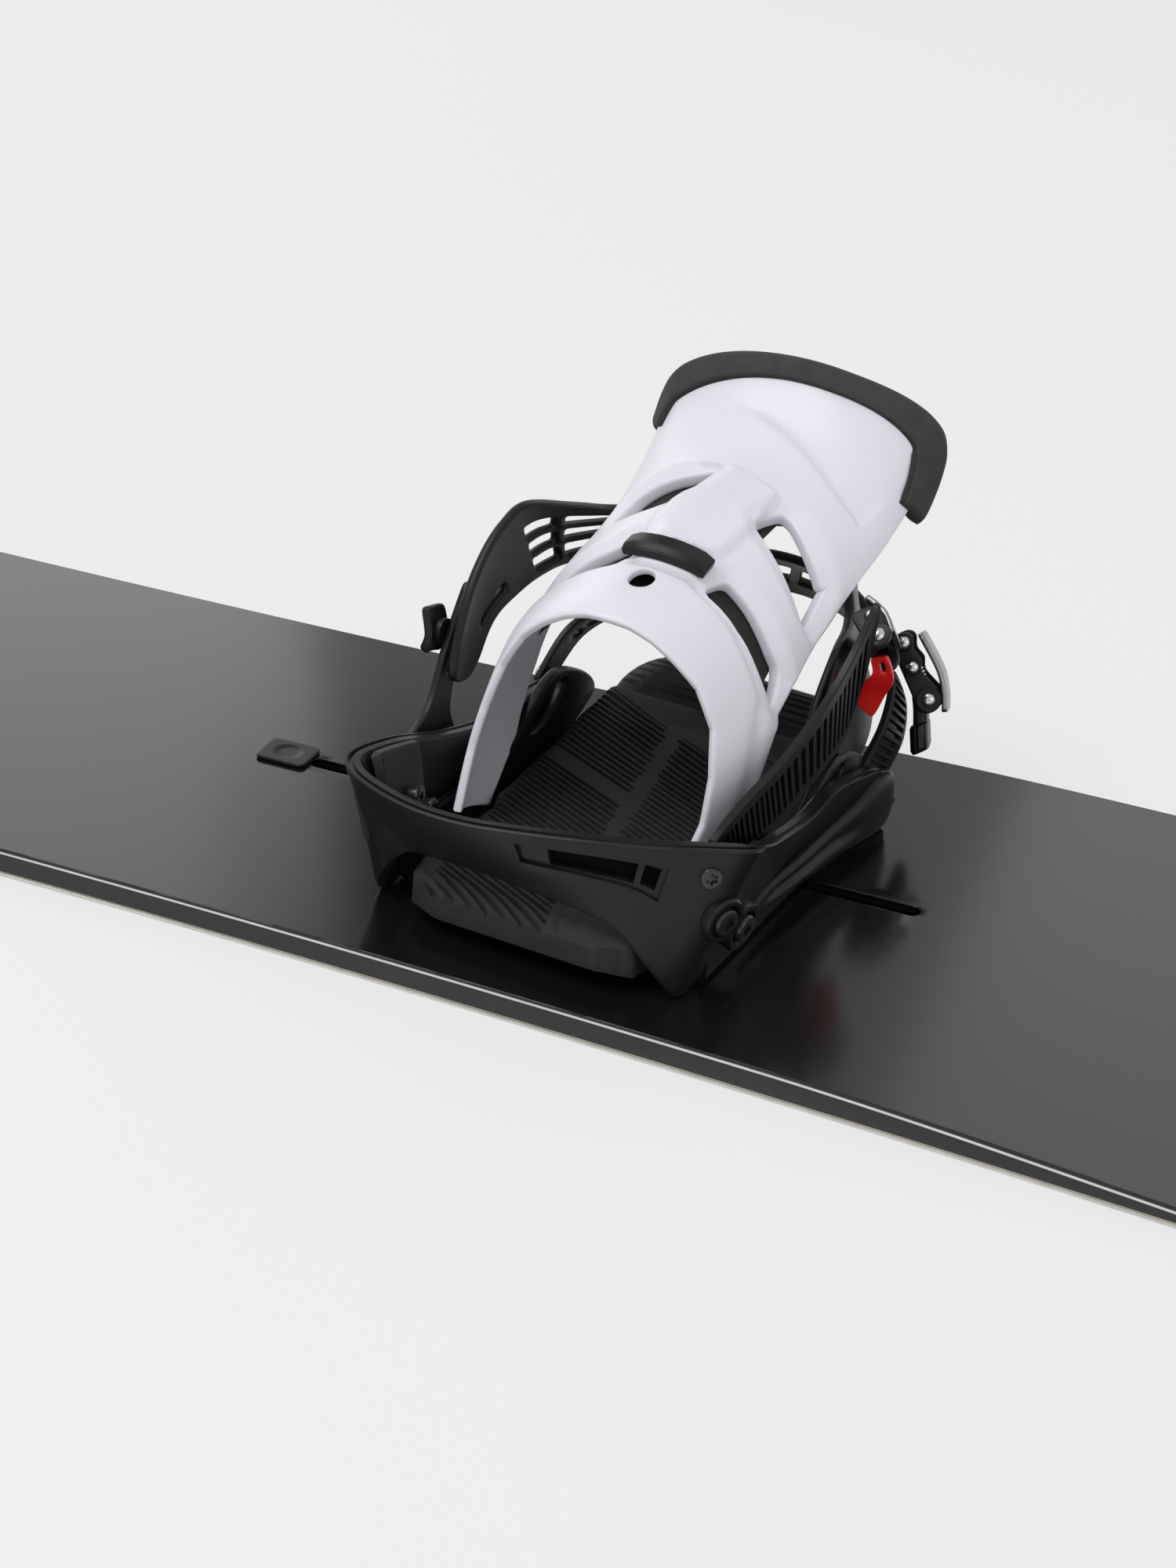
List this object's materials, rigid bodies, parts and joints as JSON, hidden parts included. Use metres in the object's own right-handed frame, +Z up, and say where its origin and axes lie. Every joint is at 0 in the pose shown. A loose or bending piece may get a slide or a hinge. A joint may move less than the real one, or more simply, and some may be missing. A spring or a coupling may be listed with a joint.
{
  "type": "snowboard with bindings",
  "caption": "Twin-tip snowboard with strap bindings on slotted channels; highbacks fold, straps swing and buckle levers lift.",
  "frame": {"origin": "centre of the board's flat base", "axes": "+X along the board towards one tip, +Y to the toe side, +Z up from the base to the deck"},
  "size_m": [1.546, 0.2972, 0.1969],
  "materials": {
    "topsheet_black": "deep gloss black laminate",
    "base_black": "sintered base, satin",
    "wood_core": "laminated wood core, sealed inside",
    "sidewall_black": "satin ABS sidewall",
    "edge_steel": "ground steel edge",
    "bolt_steel": "zinc-plated screws",
    "lever_metal": "satin grey anodised",
    "nylon_black": "moulded glass-filled nylon, satin",
    "shell_white": "moulded white shell, satin",
    "foam_grey": "dark grey textured rubber foam",
    "foam_black": "black moulded foam",
    "release_red": "red moulded tab"
  },
  "bodies": {
    "base": {"base_sheet": "base_black", "core": "wood_core", "topsheet": "topsheet_black", "steel_edge": "edge_steel", "sidewall": "sidewall_black", "channel_rail_right": "nylon_black", "channel_plug_right": "nylon_black", "baseplate_right": "nylon_black", "footbed_right": "foam_black", "toe_ramp_right": "nylon_black", "mounting_disc_right": "nylon_black", "channel_bolt_inboard_right": "bolt_steel", "channel_bolt_outboard_right": "bolt_steel", "highback_bolt_outer_right": "bolt_steel", "highback_bolt_inner_right": "bolt_steel", "channel_rail_left": "nylon_black", "channel_plug_left": "nylon_black", "baseplate_left": "nylon_black", "footbed_left": "foam_black", "toe_ramp_left": "nylon_black", "mounting_disc_left": "nylon_black", "channel_bolt_inboard_left": "bolt_steel", "channel_bolt_outboard_left": "bolt_steel", "highback_bolt_outer_left": "bolt_steel", "highback_bolt_inner_left": "bolt_steel"},
    "highback_right": {"highback_right": "shell_white", "highback_rim_right": "foam_grey", "highback_pad_right": "foam_black"},
    "lean_adjuster_right": {"lean_adjuster_right": "nylon_black"},
    "ankle_strap_right": {"ankle_strap_right": "nylon_black", "ankle_connector_right": "nylon_black", "ankle_buckle_right": "nylon_black"},
    "ankle_ladder_right": {"ankle_ladder_right": "nylon_black"},
    "ankle_adjuster_right": {"ankle_adjuster_right": "nylon_black"},
    "ankle_lever_right": {"ankle_lever_right": "lever_metal"},
    "ankle_release_right": {"ankle_release_right": "release_red"},
    "toe_strap_right": {"toe_strap_right": "nylon_black", "toe_connector_right": "nylon_black", "toe_ladder_right": "nylon_black", "toe_buckle_right": "nylon_black"},
    "toe_lever_right": {"toe_lever_right": "lever_metal"},
    "toe_release_right": {"toe_release_right": "nylon_black"},
    "highback_left": {"highback_left": "shell_white", "highback_rim_left": "foam_grey", "highback_pad_left": "foam_black"},
    "lean_adjuster_left": {"lean_adjuster_left": "nylon_black"},
    "ankle_strap_left": {"ankle_strap_left": "nylon_black", "ankle_connector_left": "nylon_black", "ankle_buckle_left": "nylon_black"},
    "ankle_ladder_left": {"ankle_ladder_left": "nylon_black"},
    "ankle_adjuster_left": {"ankle_adjuster_left": "nylon_black"},
    "ankle_lever_left": {"ankle_lever_left": "lever_metal"},
    "ankle_release_left": {"ankle_release_left": "release_red"},
    "toe_strap_left": {"toe_strap_left": "nylon_black", "toe_connector_left": "nylon_black", "toe_ladder_left": "nylon_black", "toe_buckle_left": "nylon_black"},
    "toe_lever_left": {"toe_lever_left": "lever_metal"},
    "toe_release_left": {"toe_release_left": "nylon_black"}
  },
  "joints": [
    {"name": "highback_fold_right", "type": "hinge", "parent": "base", "child": "highback_right", "pos_m": [0.27077, -0.06737, 0.0335], "axis": [0.9907, -0.1357, 0], "range_deg": [0, 43]},
    {"name": "lean_adjuster_flip_right", "type": "hinge", "parent": "highback_right", "child": "lean_adjuster_right", "pos_m": [0.2802, 0.00149, 0.151], "axis": [-0.9907, 0.1357, 0], "range_deg": [0, 60]},
    {"name": "ankle_strap_swing_right", "type": "hinge", "parent": "base", "child": "ankle_strap_right", "pos_m": [0.26941, -0.07728, 0.0565], "axis": [0.9907, -0.1357, 0], "range_deg": [-2, 1]},
    {"name": "ankle_ladder_swing_right", "type": "hinge", "parent": "base", "child": "ankle_ladder_right", "pos_m": [0.26941, -0.07728, 0.0595], "axis": [0.9907, -0.1357, 0], "range_deg": [0, 6]},
    {"name": "ankle_adjuster_flip_right", "type": "hinge", "parent": "ankle_strap_right", "child": "ankle_adjuster_right", "pos_m": [0.18659, -0.01143, 0.0835], "axis": [-0.1357, -0.9907, 0], "range_deg": [0, 50]},
    {"name": "ankle_lever_lift_right", "type": "hinge", "parent": "ankle_strap_right", "child": "ankle_lever_right", "pos_m": [0.36209, 0.03641, 0.10483], "axis": [0.096, 0.7006, -0.7071], "range_deg": [0, 60]},
    {"name": "ankle_release_press_right", "type": "hinge", "parent": "ankle_strap_right", "child": "ankle_release_right", "pos_m": [0.36122, 0.035, 0.10332], "axis": [-0.096, -0.7006, 0.7071], "range_deg": [0, 8], "stiffness_Nm_per_rad": 0.3},
    {"name": "toe_strap_swing_right", "type": "hinge", "parent": "base", "child": "toe_strap_right", "pos_m": [0.28814, 0.05944, 0.0365], "axis": [0.9907, -0.1357, 0], "range_deg": [-2, 3]},
    {"name": "toe_lever_lift_right", "type": "hinge", "parent": "toe_strap_right", "child": "toe_lever_right", "pos_m": [0.37864, 0.08372, 0.06057], "axis": [-0.0964, 0.9339, -0.3442], "range_deg": [0, 45]},
    {"name": "toe_release_press_right", "type": "hinge", "parent": "toe_strap_right", "child": "toe_release_right", "pos_m": [0.37328, 0.08107, 0.05489], "axis": [0.0964, -0.9339, 0.3442], "range_deg": [0, 8], "stiffness_Nm_per_rad": 0.3},
    {"name": "highback_fold_left", "type": "hinge", "parent": "base", "child": "highback_left", "pos_m": [-0.27077, -0.06737, 0.0335], "axis": [0.9907, 0.1357, 0], "range_deg": [0, 43]},
    {"name": "lean_adjuster_flip_left", "type": "hinge", "parent": "highback_left", "child": "lean_adjuster_left", "pos_m": [-0.2802, 0.00149, 0.151], "axis": [-0.9907, -0.1357, 0], "range_deg": [0, 60]},
    {"name": "ankle_strap_swing_left", "type": "hinge", "parent": "base", "child": "ankle_strap_left", "pos_m": [-0.26941, -0.07728, 0.0565], "axis": [0.9907, 0.1357, 0], "range_deg": [-2, 1]},
    {"name": "ankle_ladder_swing_left", "type": "hinge", "parent": "base", "child": "ankle_ladder_left", "pos_m": [-0.26941, -0.07728, 0.0595], "axis": [0.9907, 0.1357, 0], "range_deg": [0, 6]},
    {"name": "ankle_adjuster_flip_left", "type": "hinge", "parent": "ankle_strap_left", "child": "ankle_adjuster_left", "pos_m": [-0.18659, -0.01143, 0.0835], "axis": [-0.1357, 0.9907, 0], "range_deg": [0, 50]},
    {"name": "ankle_lever_lift_left", "type": "hinge", "parent": "ankle_strap_left", "child": "ankle_lever_left", "pos_m": [-0.36209, 0.03641, 0.10483], "axis": [0.096, -0.7006, 0.7071], "range_deg": [0, 60]},
    {"name": "ankle_release_press_left", "type": "hinge", "parent": "ankle_strap_left", "child": "ankle_release_left", "pos_m": [-0.36122, 0.035, 0.10332], "axis": [-0.096, 0.7006, -0.7071], "range_deg": [0, 8], "stiffness_Nm_per_rad": 0.3},
    {"name": "toe_strap_swing_left", "type": "hinge", "parent": "base", "child": "toe_strap_left", "pos_m": [-0.28814, 0.05944, 0.0365], "axis": [0.9907, 0.1357, 0], "range_deg": [-2, 3]},
    {"name": "toe_lever_lift_left", "type": "hinge", "parent": "toe_strap_left", "child": "toe_lever_left", "pos_m": [-0.37864, 0.08372, 0.06057], "axis": [-0.0964, -0.9339, 0.3442], "range_deg": [0, 45]},
    {"name": "toe_release_press_left", "type": "hinge", "parent": "toe_strap_left", "child": "toe_release_left", "pos_m": [-0.37328, 0.08107, 0.05489], "axis": [0.0964, 0.9339, -0.3442], "range_deg": [0, 8], "stiffness_Nm_per_rad": 0.3}
  ]
}
